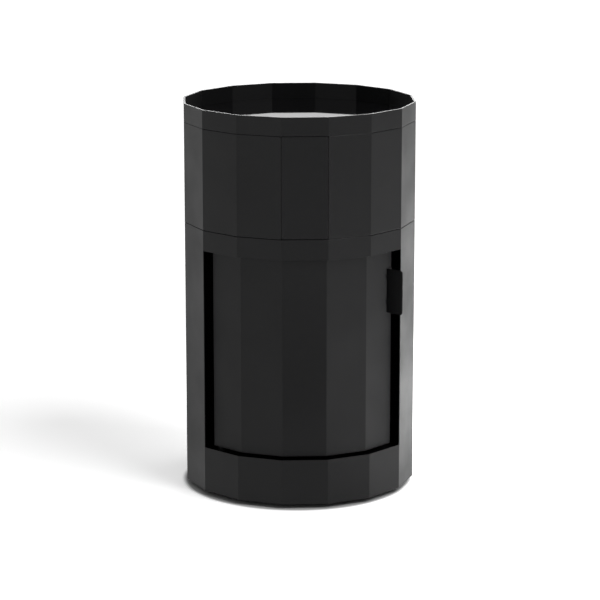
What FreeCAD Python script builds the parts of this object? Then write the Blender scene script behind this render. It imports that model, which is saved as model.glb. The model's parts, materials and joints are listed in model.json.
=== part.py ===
import FreeCAD, Part
import math
import os

from FreeCAD import Vector

# Driving dimensions in millimetres. The floor is at height 0, the front faces -Y and +Z is up.
SIDES = 16
CORNER_RADIUS = 180.0
SHEET = 1.2
BEND = 1.6
TOTAL_HEIGHT = 600.0
FOOT_HEIGHT = 7.0
SILL_HEIGHT = 77.0
LINTEL_HEIGHT = 385.0
CABINET_HEIGHT = 417.0
DRUM_HEIGHT = 571.6
SEAM_GAP = 0.6
SEAM_FLANGE = 20.0
BASE_FLANGE = 50.0

# Cabinet floor and ceiling pans
PAN_LIP = 6.0
PAN_RIM = 20.0

# Rim and pane
RIM_WALL = 3.0
RIM_EDGE = 0.5
LEDGE_WIDTH = 18.0
PANE_THICKNESS = 3.0
PANE_GAP = 0.8
PANE_ARRIS = 0.5

# Door
DOOR_RECESS = 10.0
DOOR_SIDES = 5
DOOR_SIDE_GAP = 8.8
DOOR_BOTTOM_GAP = 3.0
DOOR_TOP_GAP = 2.0
DOOR_DEPTH = 16.0
DOOR_LIP = 12.0
PIVOT_INSET = 9.0
PIVOT_DEPTH = 8.0
PIN_RADIUS = 3.0
PIN_HEAD_RADIUS = 5.0
PIN_HEAD = 3.0
RUNNING_GAP = 0.05
THRUST_GAP = 0.3
BUSH_RADIUS = 5.5
BUSH_SPIGOT_RADIUS = 4.2
BUSH_SPIGOT = 5.0

# Handle
FIN_OFFSET = 11.5
FIN_REACH = 32.6
FIN_SHEET = 2.0
FIN_BEND = 3.0
FIN_CORNER = 4.0
HANDLE_HEIGHT = 68.0
HANDLE_MIDDLE = 323.5
HANDLE_LEG = 12.0
RIVET_RADIUS = 2.0
RIVET_SPACING = 40.0
RIVET_TAIL_RADIUS = 3.0
RIVET_TAIL = 1.2

# Magnetic catch
CATCH_WIDTH = 24.0
CATCH_DEPTH = 14.0
CATCH_HEIGHT = 26.0
CATCH_GAP = 0.4
CATCH_WALL = 3.0
CATCH_ROUND = 3.0
CATCH_EDGE = 1.0
CATCH_SCREW = 10.0
POLE_PROUD = 0.8
POLE_DEPTH = 8.0
POLE_THICKNESS = 2.5
POLE_HEIGHT = 12.0
POLE_SPACING = 7.0
MAGNET_SETBACK = 2.0

# Drawer
DRAWER_TRAVEL = 170.0
FRONT_SIDE_GAP = 0.4
FRONT_RETURN = 12.0
STUD_ACROSS = 32.0
STUD_APART = 76.0
BAY_DEPTH = 14.0
STILE_DEPTH = 16.0
BOX_SHEET = 1.0
BOX_WIDTH = 50.0
BOX_BOTTOM = 424.0
BOX_TOP = 540.0
BOX_BACK = 95.0
BAR_WIDTH = 9.0
BAR_HEIGHT = 12.0
BAR_MIDDLE = 452.0
BAR_FRONT = -158.0
BAR_BACK = 92.0
BAR_EDGE = 1.0
BAR_SCREW = 6.0
BAR_SCREW_END = 25.0
GUIDE_SIDE_GAP = 0.4
GUIDE_GAP = 0.3
GUIDE_FLANGE = 8.6
GUIDE_FOOT = 16.0
GUIDE_FRONT = -157.0
GUIDE_BACK = 100.0
GUIDE_SCREW = 6.0
GUIDE_SCREW_END = 20.0
STOP_PLACE = -140.0
STOP_RADIUS = 2.0
STOP_REACH = 1.5
SLOT_DEPTH = 2.2
SLOT_CLEARANCE = 0.5

# Push latch
LATCH_WIDTH = 16.0
LATCH_HEIGHT = 18.0
LATCH_FRONT = 104.0
LATCH_LENGTH = 42.0
LATCH_ROUND = 3.0
LATCH_END = 3.0
LATCH_EAR = 10.0
EAR_THICKNESS = 3.0
EAR_EDGE = 1.0
LATCH_SCREW = 8.0
PLUNGER_RADIUS = 3.5
PLUNGER_LENGTH = 38.0
PLUNGER_HEIGHT = 430.0
PLUNGER_GAP = 0.3
PLUNGER_CLEARANCE = 0.1
MAGNET_TIP_RADIUS = 5.0
MAGNET_TIP = 3.0

# Fasteners and feet
FASTENER_RADIUS = 164.0
M3 = 1.5
M4 = 2.0
M5 = 2.5
HOLE_CLEARANCE = 0.25
DRILL_REACH = 5.0
STUD_LENGTH = 14.0
GLIDE_RADIUS = 142.0
GLIDE_PAD_RADIUS = 11.0
GLIDE_EDGE = 2.0
GLIDE_STEM_RADIUS = 4.0
GLIDE_STEM = 22.0

# Proportions of screw heads and nuts, as shares of the thread's radius or of the head
HEAD_RADIUS = 1.9
HEAD_RISE = 1.1
HEAD_TOP = 0.6
HEAD_SIDE = 0.4
NUT_ACROSS = 1.6
NUT_HEIGHT = 1.6

# Values worked out from the driving dimensions
TURN = 360.0 / SIDES
HALF_TURN = math.radians(TURN / 2)
FACE = CORNER_RADIUS * math.cos(HALF_TURN)
HALF_FACET = CORNER_RADIUS * math.sin(HALF_TURN)
INSIDE = FACE - SHEET
FLOOR_LEVEL = SILL_HEIGHT - PAN_LIP
CEILING_LEVEL = LINTEL_HEIGHT + PAN_LIP
DRUM_FLOOR_LEVEL = CABINET_HEIGHT + 2 * SHEET
LEDGE_LEVEL = DRUM_HEIGHT + SHEET
DOOR_CORNER_RADIUS = CORNER_RADIUS - DOOR_RECESS
DOOR_FACE = DOOR_CORNER_RADIUS * math.cos(HALF_TURN)
DOOR_EDGE = DOOR_CORNER_RADIUS * math.sin(HALF_TURN) - DOOR_SIDE_GAP
DOOR_BACK = DOOR_FACE - DOOR_DEPTH
DOOR_BOTTOM = SILL_HEIGHT + DOOR_BOTTOM_GAP
DOOR_TOP = LINTEL_HEIGHT - DOOR_TOP_GAP
END_FACET = DOOR_SIDES // 2
CATCH_FRONT = DOOR_BACK - CATCH_GAP - POLE_PROUD
CATCH_MIDDLE = DOOR_EDGE - DOOR_LIP / 2
BAR_OUTSIDE = BOX_WIDTH / 2 + BAR_WIDTH
GUIDE_WEB = BAR_OUTSIDE + GUIDE_SIDE_GAP
REACH = 2 * CORNER_RADIUS
UP = Vector(0, 0, 1)
DOWN = Vector(0, 0, -1)
BACKWARD = Vector(0, 1, 0)
FASTENER_FACETS = (-7, -5, -3, -1, 1, 3, 5, 7)
GLIDE_FACETS = {"front_left": -2, "front_right": 2, "back_left": -6, "back_right": 6}
SIDE_SIGNS = {"left": -1, "right": 1}


# Helpers for outlines and places
def upright(out, height):
    """Point of a section across the front facet, at a distance out from the axis."""
    return Vector(0, -out, height)


def across(side, height):
    """Point of a section that runs from the front to the back."""
    return Vector(side, 0, height)


def flat(along, out):
    """Point of an outline seen from above, on the front facet."""
    return Vector(along, -out, 0)


def facet_point(facet, along, out, height):
    """Point at a distance along a facet from its middle and out from the axis."""
    angle = math.radians(facet * TURN)
    x = out * math.sin(angle) + along * math.cos(angle)
    y = -out * math.cos(angle) + along * math.sin(angle)
    return Vector(x, y, height)


def outward(facet):
    """Outward direction of a facet."""
    return facet_point(facet, 0, 1, 0)


def turned(shape, facet):
    """Copy of a front-facet shape, turned onto another facet."""
    copy = shape.copy()
    copy.rotate(Vector(0, 0, 0), UP, facet * TURN)
    return copy


def outline(points, radii, place):
    """Closed face through points, with each corner rounded to its radius."""
    corners = [place(*point) for point in points]
    starts, ends, middles = [], [], []
    for i, corner in enumerate(corners):
        before = (corners[i - 1] - corner).normalize()
        after = (corners[(i + 1) % len(corners)] - corner).normalize()
        half = before.getAngle(after) / 2
        bisector = (before + after).normalize()
        tangent = radii[i] / math.tan(half)
        starts.append(corner + before * tangent)
        ends.append(corner + after * tangent)
        middles.append(corner + bisector * (radii[i] / math.sin(half) - radii[i]))
    edges = []
    for i, radius in enumerate(radii):
        if radius > 0:
            edges.append(Part.Arc(starts[i], middles[i], ends[i]).toShape())
        edges.append(Part.makeLine(ends[i], starts[(i + 1) % len(corners)]))
    return Part.Face(Part.Wire(edges))


def folded_section(path, place=upright, sheet=SHEET, bend=BEND):
    """Section of a folded sheet whose outer face follows path, with the metal on its left."""
    normals = []
    for (x0, y0), (x1, y1) in zip(path, path[1:]):
        length = math.hypot(x1 - x0, y1 - y0)
        normals.append(((y0 - y1) / length, (x1 - x0) / length))
    before = normals[:1] + normals
    after = normals + normals[-1:]
    inner = []
    for (x, y), (a, b), (c, d) in zip(path, before, after):
        spread = sheet / (1 + a * c + b * d)
        inner.append((x + (a + c) * spread, y + (b + d) * spread))
    folds = len(path) - 2
    radii = [0] + [bend] * folds + [0]
    inner_radii = [0] + [bend - sheet] * folds + [0]
    return outline(path + inner[::-1], radii + inner_radii, place)


def polygon_prism(face_distance, bottom, top):
    """Upright prism with the cabinet's sides, each at face_distance from the axis."""
    radius = face_distance / math.cos(HALF_TURN)
    corners = [facet_point(k + 0.5, 0, radius, bottom) for k in range(SIDES)]
    return Part.Face(Part.makePolygon(corners + corners[:1])).extrude(UP * (top - bottom))


def sector(first, last, bottom, top):
    """Wedge about the axis between two turns, counted in facets from the front."""
    sides = [facet_point(turn, 0, REACH, bottom) for turn in (first, last)]
    corners = [Vector(0, 0, bottom)] + sides
    return Part.Face(Part.makePolygon(corners + corners[:1])).extrude(UP * (top - bottom))


def folded_ring(section, facets=range(SIDES)):
    """Section carried along the given facets, mitred at every fold line."""
    strip = section.copy()
    strip.translate(Vector(-REACH / 2, 0, 0))
    segment = strip.extrude(Vector(REACH, 0, 0)).common(sector(-0.5, 0.5, 0, TOTAL_HEIGHT))
    pieces = [turned(segment, facet) for facet in facets]
    return pieces[0].multiFuse(pieces[1:]).removeSplitter()


def facet_box(facet, along, out, heights):
    """Block on a facet, between two distances along it, out from the axis and above the floor."""
    size = (along[1] - along[0], out[1] - out[0], heights[1] - heights[0])
    return turned(Part.makeBox(*size, Vector(along[0], -out[1], heights[0])), facet)


def aimed(shape, place, direction):
    """Copy of a shape made along +Z from the origin, moved to a place and turned to a direction."""
    copy = shape.copy()
    copy.Placement = FreeCAD.Placement(place, FreeCAD.Rotation(UP, direction))
    return copy


def rod(radius, place, direction, length):
    """Round bar from a place along a direction."""
    return Part.makeCylinder(radius, length, place, direction)


def screw(thread, length):
    """Button-head screw with its head seated at the origin and its shank along -Z."""
    head = HEAD_RADIUS * thread
    rise = HEAD_RISE * thread
    profile = [
        (0, rise),
        (HEAD_TOP * head, rise),
        (head, HEAD_SIDE * rise),
        (head, 0),
        (thread, 0),
        (thread, -length),
        (0, -length),
    ]
    points = [across(*point) for point in profile]
    return Part.Face(Part.makePolygon(points + points[:1])).revolve(Vector(0, 0, 0), UP, 360)


def nut(thread):
    """Hexagon nut standing on the origin."""
    sixth = math.pi / 3
    radius = NUT_ACROSS * thread / math.cos(sixth / 2)
    corners = [Vector(math.cos(k * sixth), math.sin(k * sixth), 0) * radius for k in range(6)]
    body = Part.Face(Part.makePolygon(corners + corners[:1])).extrude(UP * NUT_HEIGHT * thread)
    return body.cut(Part.makeCylinder(thread, 2 * NUT_HEIGHT * thread))


def drilled(shape, places, direction, radius):
    """Shape with a through hole of the radius at each place."""
    holes = [rod(radius, place - direction * DRILL_REACH, direction, 2 * DRILL_REACH) for place in places]
    return shape.cut(Part.makeCompound(holes))


def fastener_places(height):
    """Centres of the eight fasteners round each flange joint."""
    return [facet_point(facet, 0, FASTENER_RADIUS, height) for facet in FASTENER_FACETS]


def pivot(height):
    """Point on the door's pivot axis."""
    return facet_point(-END_FACET, PIVOT_INSET - DOOR_EDGE, DOOR_FACE - PIVOT_DEPTH, height)


# Carcass
def cabinet_shell():
    """Lower shell, folded in at the base and the top, with the door opening cut across five facets."""
    path = [
        (FACE - BASE_FLANGE, FOOT_HEIGHT),
        (FACE, FOOT_HEIGHT),
        (FACE, CABINET_HEIGHT),
        (FACE - SEAM_FLANGE, CABINET_HEIGHT),
    ]
    shell = folded_ring(folded_section(path))
    shell = shell.cut(sector(-DOOR_SIDES / 2, DOOR_SIDES / 2, SILL_HEIGHT, LINTEL_HEIGHT))
    shell = drilled(shell, fastener_places(CABINET_HEIGHT), UP, M5 + HOLE_CLEARANCE)
    feet = [facet_point(facet, 0, GLIDE_RADIUS, FOOT_HEIGHT) for facet in GLIDE_FACETS.values()]
    return drilled(shell, feet, UP, GLIDE_STEM_RADIUS + HOLE_CLEARANCE)


def pan(path, bottom):
    """Flat plate across the shell with a turned rim that follows path."""
    inner = min(point[0] for point in path)
    plate = polygon_prism(inner, bottom, bottom + SHEET)
    return folded_ring(folded_section(path)).fuse(plate).removeSplitter()


def floor_pan():
    """Cabinet floor, a lip below the sill, with its rim turned down."""
    rim = [(INSIDE, FLOOR_LEVEL - PAN_RIM), (INSIDE, FLOOR_LEVEL), (INSIDE - PAN_RIM, FLOOR_LEVEL)]
    return drilled(pan(rim, FLOOR_LEVEL - SHEET), [pivot(FLOOR_LEVEL)], UP, BUSH_SPIGOT_RADIUS + RUNNING_GAP)


def ceiling_pan():
    """Cabinet ceiling, a lip above the lintel, with its rim turned up."""
    rim = [(INSIDE - PAN_RIM, CEILING_LEVEL), (INSIDE, CEILING_LEVEL), (INSIDE, CEILING_LEVEL + PAN_RIM)]
    plate = drilled(pan(rim, CEILING_LEVEL), [pivot(CEILING_LEVEL)], UP, BUSH_SPIGOT_RADIUS + RUNNING_GAP)
    return drilled(plate, catch_screw_places(), UP, M3 + HOLE_CLEARANCE)


def bay(bottom, top):
    """Space behind the drawer front, one facet wide."""
    return facet_box(0, (-HALF_FACET, HALF_FACET), (FACE - BAY_DEPTH, REACH), (bottom, top))


def drum_shell():
    """Upper drum with flanges folded in, an open front facet and a stile along each side of it."""
    path = [
        (FACE - SEAM_FLANGE, CABINET_HEIGHT),
        (FACE, CABINET_HEIGHT),
        (FACE, DRUM_HEIGHT),
        (FACE - SEAM_FLANGE, DRUM_HEIGHT),
    ]
    shell = folded_ring(folded_section(path)).cut(bay(CABINET_HEIGHT, DRUM_HEIGHT))
    drum = polygon_prism(FACE, CABINET_HEIGHT, DRUM_HEIGHT)
    heights = (CABINET_HEIGHT + SHEET, DRUM_HEIGHT - SHEET)
    for sign in SIDE_SIGNS.values():
        along = sorted((sign * HALF_FACET, sign * (HALF_FACET + SHEET)))
        stile = facet_box(0, along, (FACE - STILE_DEPTH, FACE), heights)
        shell = shell.fuse(stile.common(drum))
    places = fastener_places(CABINET_HEIGHT) + fastener_places(DRUM_HEIGHT)
    return drilled(shell.removeSplitter(), places, UP, M5 + HOLE_CLEARANCE)


def drum_floor():
    """Plate on the drum's lower flange, notched for the drawer front."""
    plate = polygon_prism(INSIDE - SEAM_GAP, DRUM_FLOOR_LEVEL - SHEET, DRUM_FLOOR_LEVEL)
    stiles = HALF_FACET + 2 * SHEET
    depth = (FACE - STILE_DEPTH - SHEET, REACH)
    plate = plate.cut(facet_box(0, (-stiles, stiles), depth, (CABINET_HEIGHT, DRUM_HEIGHT)))
    plate = drilled(plate, fastener_places(DRUM_FLOOR_LEVEL), UP, M5 + HOLE_CLEARANCE)
    small = guide_screw_places() + latch_screw_places()
    return drilled(plate, small, UP, M4 + HOLE_CLEARANCE)


def rim_ring():
    """Rim with eased edges, a ledge for the pane and studs welded under the ledge."""
    inside = FACE - RIM_WALL
    points = [
        (FACE, DRUM_HEIGHT),
        (FACE, TOTAL_HEIGHT),
        (inside, TOTAL_HEIGHT),
        (inside, LEDGE_LEVEL),
        (inside - LEDGE_WIDTH, LEDGE_LEVEL),
        (inside - LEDGE_WIDTH, DRUM_HEIGHT),
    ]
    ring = folded_ring(outline(points, [0, RIM_EDGE, RIM_EDGE, 0, 0, 0], upright))
    studs = [rod(M5, place, DOWN, STUD_LENGTH) for place in fastener_places(LEDGE_LEVEL)]
    return ring.multiFuse(studs).removeSplitter()


def rim_nuts():
    """Nuts on the rim's studs, under the drum's upper flange."""
    places = fastener_places(DRUM_HEIGHT - SHEET)
    return Part.makeCompound([aimed(nut(M5), place, DOWN) for place in places])


def top_pane():
    """Glass pane inside the rim, with its edges arrised."""
    pane = polygon_prism(FACE - RIM_WALL - PANE_GAP, LEDGE_LEVEL, LEDGE_LEVEL + PANE_THICKNESS)
    rims = [edge for edge in pane.Edges if abs(edge.tangentAt(edge.FirstParameter).z) < 0.5]
    return pane.makeChamfer(PANE_ARRIS, rims)


def module_screws():
    """Screws through the drum floor and both flanges of the cabinet joint."""
    length = DRUM_FLOOR_LEVEL - CABINET_HEIGHT + SHEET + 2 * NUT_HEIGHT * M5
    places = fastener_places(DRUM_FLOOR_LEVEL)
    return Part.makeCompound([aimed(screw(M5, length), place, UP) for place in places])


def module_nuts():
    """Captive nuts under the cabinet's upper flange."""
    places = fastener_places(CABINET_HEIGHT - SHEET)
    return Part.makeCompound([aimed(nut(M5), place, DOWN) for place in places])


def glide(facet):
    """Levelling foot: a round pad under the base flange with a threaded stem through it."""
    place = facet_point(facet, 0, GLIDE_RADIUS, 0)
    edge = GLIDE_PAD_RADIUS - GLIDE_EDGE
    profile = [
        (0, 0),
        (edge, 0),
        (GLIDE_PAD_RADIUS, GLIDE_EDGE),
        (GLIDE_PAD_RADIUS, FOOT_HEIGHT - GLIDE_EDGE),
        (edge, FOOT_HEIGHT),
        (GLIDE_STEM_RADIUS, FOOT_HEIGHT),
        (GLIDE_STEM_RADIUS, FOOT_HEIGHT + GLIDE_STEM),
        (0, FOOT_HEIGHT + GLIDE_STEM),
    ]
    points = [across(*point) for point in profile]
    body = Part.Face(Part.makePolygon(points + points[:1])).revolve(Vector(0, 0, 0), UP, 360)
    return aimed(body, place, UP)


def glide_nuts():
    """Nuts welded on the base flange for the levelling feet."""
    places = [facet_point(facet, 0, GLIDE_RADIUS, FOOT_HEIGHT + SHEET) for facet in GLIDE_FACETS.values()]
    return Part.makeCompound([aimed(nut(GLIDE_STEM_RADIUS), place, UP) for place in places])


# Door pivots and catch on the carcass
def pivot_bush(level, direction, door_edge):
    """Plastic bush between a pan and the door, with a spigot through the pan."""
    height = abs(door_edge - level) - THRUST_GAP
    body = rod(BUSH_RADIUS, pivot(level), direction, height)
    spigot = rod(BUSH_SPIGOT_RADIUS, pivot(level), direction * -1, BUSH_SPIGOT)
    start = pivot(level) - direction * BUSH_SPIGOT
    bore = rod(PIN_RADIUS + RUNNING_GAP, start, direction, height + BUSH_SPIGOT)
    return body.fuse(spigot).cut(bore).removeSplitter()


def pivot_pin(flange, direction):
    """Headed steel pin seated on the inside of a door flange and running out into its bush."""
    head = rod(PIN_HEAD_RADIUS, pivot(flange), direction * -1, PIN_HEAD)
    reach = SHEET + THRUST_GAP + PAN_LIP + DOOR_TOP_GAP + BUSH_SPIGOT / 2
    return head.fuse(rod(PIN_RADIUS, pivot(flange), direction, reach)).removeSplitter()


def catch_screw_places():
    """Centres of the two catch screws, at the underside of the ceiling."""
    out = CATCH_FRONT - CATCH_DEPTH / 2
    along = [CATCH_MIDDLE + sign * CATCH_WIDTH / 4 for sign in SIDE_SIGNS.values()]
    return [facet_point(END_FACET, place, out, CEILING_LEVEL) for place in along]


def catch_magnet():
    """Magnet between two steel poles that stand a little proud of the catch's face."""
    low = CEILING_LEVEL - CATCH_HEIGHT + CATCH_WALL
    heights = (low, low + POLE_HEIGHT)
    back = CATCH_FRONT - POLE_DEPTH
    between = (CATCH_MIDDLE - POLE_SPACING / 2, CATCH_MIDDLE + POLE_SPACING / 2)
    magnet = facet_box(END_FACET, between, (back, CATCH_FRONT - MAGNET_SETBACK), heights)
    for along in between:
        width = (along - POLE_THICKNESS / 2, along + POLE_THICKNESS / 2)
        magnet = magnet.fuse(facet_box(END_FACET, width, (back, CATCH_FRONT + POLE_PROUD), heights))
    return magnet.removeSplitter()


def catch_screws():
    """Screws through the ceiling down into the catch housing."""
    places = [place + UP * SHEET for place in catch_screw_places()]
    return Part.makeCompound([aimed(screw(M3, CATCH_SCREW), place, UP) for place in places])


def catch_housing():
    """Moulded housing under the ceiling, with a pocket for the magnet and bores for its screws."""
    half = CATCH_WIDTH / 2
    back = CATCH_FRONT - CATCH_DEPTH
    points = [
        (CATCH_MIDDLE - half, back),
        (CATCH_MIDDLE + half, back),
        (CATCH_MIDDLE + half, CATCH_FRONT),
        (CATCH_MIDDLE - half, CATCH_FRONT),
    ]
    radii = [CATCH_ROUND, CATCH_ROUND, CATCH_EDGE, CATCH_EDGE]
    body = outline(points, radii, flat).extrude(UP * CATCH_HEIGHT)
    body.translate(UP * (CEILING_LEVEL - CATCH_HEIGHT))
    return turned(body, END_FACET).cut(catch_magnet()).cut(catch_screws())


# Drawer guides and push latch on the drum floor
def guide_screw_places():
    """Centres of the screws in the feet of both guides."""
    out = GUIDE_WEB + SHEET + GUIDE_FOOT / 2
    middle = (GUIDE_FRONT + GUIDE_BACK) / 2
    rows = (GUIDE_FRONT + GUIDE_SCREW_END, middle, GUIDE_BACK - GUIDE_SCREW_END)
    return [Vector(s * out, y, DRUM_FLOOR_LEVEL) for s in SIDE_SIGNS.values() for y in rows]


def drawer_guide(sign):
    """Folded guide: a foot on the drum floor, an upright web and two flanges round the glide bar."""
    low = BAR_MIDDLE - BAR_HEIGHT / 2 - GUIDE_GAP
    high = BAR_MIDDLE + BAR_HEIGHT / 2 + GUIDE_GAP
    web = GUIDE_WEB
    points = [
        (web, DRUM_FLOOR_LEVEL),
        (web + SHEET + GUIDE_FOOT, DRUM_FLOOR_LEVEL),
        (web + SHEET + GUIDE_FOOT, DRUM_FLOOR_LEVEL + SHEET),
        (web + SHEET, DRUM_FLOOR_LEVEL + SHEET),
        (web + SHEET, high + SHEET),
        (web - GUIDE_FLANGE + SHEET, high + SHEET),
        (web - GUIDE_FLANGE + SHEET, high),
        (web, high),
        (web, low),
        (web - GUIDE_FLANGE + SHEET, low),
        (web - GUIDE_FLANGE + SHEET, low - SHEET),
        (web, low - SHEET),
    ]
    radii = [BEND, 0, 0, BEND - SHEET, BEND, 0, 0, BEND - SHEET, 0, 0, 0, 0]
    section = outline([(sign * x, z) for x, z in points], radii, across)
    section.translate(Vector(0, GUIDE_FRONT, 0))
    guide = section.extrude(BACKWARD * (GUIDE_BACK - GUIDE_FRONT))
    places = [place for place in guide_screw_places() if place.x * sign > 0]
    guide = drilled(guide, places, UP, M4 + HOLE_CLEARANCE)
    return drilled(guide, [stop_place(sign)], Vector(sign, 0, 0), STOP_RADIUS + HOLE_CLEARANCE)


def stop_place(sign):
    """Centre of a stop screw, on the outer face of its guide."""
    return Vector(sign * (GUIDE_WEB + SHEET), STOP_PLACE, BAR_MIDDLE)


def stop_screws():
    """Screws through the guides whose tips run in the glide bars' slots."""
    body = screw(STOP_RADIUS, SHEET + GUIDE_SIDE_GAP + STOP_REACH)
    signs = SIDE_SIGNS.values()
    return Part.makeCompound([aimed(body, stop_place(sign), Vector(sign, 0, 0)) for sign in signs])


def guide_screws():
    """Screws that hold the guide feet to the drum floor."""
    places = [place + UP * SHEET for place in guide_screw_places()]
    return Part.makeCompound([aimed(screw(M4, GUIDE_SCREW), place, UP) for place in places])


def latch_screw_places():
    """Centres of the two screws in the latch's ears."""
    out = (LATCH_WIDTH + LATCH_EAR) / 2
    return [Vector(s * out, LATCH_FRONT + LATCH_LENGTH / 2, DRUM_FLOOR_LEVEL) for s in SIDE_SIGNS.values()]


def latch_housing():
    """Moulded latch body with an ear on each side and a bore for the plunger."""
    half = LATCH_WIDTH / 2
    ear = half + LATCH_EAR
    points = [(-half, 0), (half, 0), (half, LATCH_HEIGHT), (-half, LATCH_HEIGHT)]
    body = outline(points, [0, 0, LATCH_ROUND, LATCH_ROUND], across).extrude(BACKWARD * LATCH_LENGTH)
    third = LATCH_LENGTH / 3
    points = [(-ear, 0), (ear, 0), (ear, EAR_THICKNESS), (-ear, EAR_THICKNESS)]
    ears = outline(points, [0, 0, EAR_EDGE, EAR_EDGE], across).extrude(BACKWARD * third)
    ears.translate(BACKWARD * third)
    housing = body.fuse(ears).removeSplitter()
    housing.translate(Vector(0, LATCH_FRONT, DRUM_FLOOR_LEVEL))
    mouth = Vector(0, LATCH_FRONT, PLUNGER_HEIGHT)
    bore = rod(PLUNGER_RADIUS + PLUNGER_CLEARANCE, mouth, BACKWARD, LATCH_LENGTH - LATCH_END)
    return drilled(housing.cut(bore), latch_screw_places(), UP, M4 + HOLE_CLEARANCE)


def latch_screws():
    """Screws through the latch's ears into the drum floor."""
    places = [place + UP * EAR_THICKNESS for place in latch_screw_places()]
    return Part.makeCompound([aimed(screw(M4, LATCH_SCREW), place, UP) for place in places])


def latch_plunger():
    """Plunger of the push latch with the magnet tip that holds the drawer's back."""
    tip = Vector(0, BOX_BACK + PLUNGER_GAP, PLUNGER_HEIGHT)
    magnet = rod(MAGNET_TIP_RADIUS, tip, BACKWARD, MAGNET_TIP)
    return magnet.fuse(rod(PLUNGER_RADIUS, tip, BACKWARD, PLUNGER_LENGTH)).removeSplitter()


# Door
def door_panel():
    """Five-facet leaf folded in all round, with a lip on the free edge for the magnet."""
    path = [(DOOR_BACK, DOOR_BOTTOM), (DOOR_FACE, DOOR_BOTTOM), (DOOR_FACE, DOOR_TOP), (DOOR_BACK, DOOR_TOP)]
    leaf = folded_ring(folded_section(path), range(-END_FACET, END_FACET + 1))
    edge_face = outline(path, [0, BEND, BEND, 0], upright)
    inside = (DOOR_BACK - SHEET, REACH)
    for sign in SIDE_SIGNS.values():
        beyond = sorted((sign * DOOR_EDGE, sign * REACH))
        leaf = leaf.cut(facet_box(sign * END_FACET, beyond, inside, (0, TOTAL_HEIGHT)))
        side = edge_face.copy()
        side.translate(Vector(sign * DOOR_EDGE, 0, 0))
        leaf = leaf.fuse(turned(side.extrude(Vector(-sign * SHEET, 0, 0)), sign * END_FACET))
    along = (DOOR_EDGE - DOOR_LIP, DOOR_EDGE)
    lip = facet_box(END_FACET, along, (DOOR_BACK, DOOR_BACK + SHEET), (DOOR_BOTTOM, DOOR_TOP))
    leaf = leaf.fuse(lip).removeSplitter()
    leaf = drilled(leaf, [pivot(DOOR_BOTTOM), pivot(DOOR_TOP)], UP, PIN_RADIUS + RUNNING_GAP)
    return drilled(leaf, rivet_places(), outward(END_FACET), RIVET_RADIUS + RUNNING_GAP)


def rivet_places():
    """Centres of the handle's rivets on the door face."""
    along = FIN_OFFSET + (FIN_SHEET + HANDLE_LEG) / 2
    heights = [HANDLE_MIDDLE + s * RIVET_SPACING / 2 for s in (-1, 1)]
    return [facet_point(END_FACET, along, DOOR_FACE, height) for height in heights]


def door_handle():
    """Folded fin that stands square to the door, with a leg riveted to it."""
    tip = DOOR_FACE + FIN_REACH
    leg = DOOR_FACE + FIN_SHEET
    bottom = HANDLE_MIDDLE - HANDLE_HEIGHT / 2
    top = HANDLE_MIDDLE + HANDLE_HEIGHT / 2
    points = [
        (FIN_OFFSET, DOOR_FACE),
        (FIN_OFFSET + HANDLE_LEG, DOOR_FACE),
        (FIN_OFFSET + HANDLE_LEG, leg),
        (FIN_OFFSET + FIN_SHEET, leg),
        (FIN_OFFSET + FIN_SHEET, tip),
        (FIN_OFFSET, tip),
    ]
    fold = outline(points, [FIN_BEND, 0, 0, FIN_BEND - FIN_SHEET, 0, 0], flat).extrude(UP * HANDLE_HEIGHT)
    fold.translate(UP * bottom)
    side = [(DOOR_FACE, bottom), (tip, bottom), (tip, top), (DOOR_FACE, top)]
    handle = fold.common(outline(side, [0, FIN_CORNER, FIN_CORNER, 0], upright).extrude(Vector(REACH, 0, 0)))
    return drilled(turned(handle, END_FACET), rivet_places(), outward(END_FACET), RIVET_RADIUS + RUNNING_GAP)


def handle_rivets():
    """Domed rivets through the handle's leg and the door."""
    rivets = []
    out = outward(END_FACET)
    for place in rivet_places():
        body = aimed(screw(RIVET_RADIUS, FIN_SHEET + SHEET), place + out * FIN_SHEET, out)
        tail = rod(RIVET_TAIL_RADIUS, place - out * SHEET, out * -1, RIVET_TAIL)
        rivets.append(body.fuse(tail).removeSplitter())
    return Part.makeCompound(rivets)


# Drawer
def stud_places():
    """Centres of the front's weld studs, on its inside face."""
    middle = (BOX_BOTTOM + BOX_TOP) / 2
    sides = (-STUD_ACROSS / 2, STUD_ACROSS / 2)
    heights = (middle - STUD_APART / 2, middle + STUD_APART / 2)
    return [Vector(x, SHEET - FACE, z) for x in sides for z in heights]


def drawer_front():
    """Flush front pan that fills the open facet, with weld studs for the box."""
    half = HALF_FACET - FRONT_SIDE_GAP
    low = CABINET_HEIGHT + SEAM_GAP
    high = DRUM_HEIGHT - SEAM_GAP
    block = facet_box(0, (-half, half), (FACE - FRONT_RETURN, FACE), (low, high))
    rims = [edge for edge in block.Edges if abs(edge.CenterOfMass.y + FACE) < SEAM_GAP]
    block = block.makeFillet(BEND, rims)
    hollow = facet_box(0, (SHEET - half, half - SHEET), (0, FACE - SHEET), (low + SHEET, high - SHEET))
    studs = [rod(M4, place, BACKWARD, STUD_LENGTH / 2) for place in stud_places()]
    return block.cut(hollow).multiFuse(studs).removeSplitter()


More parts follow.
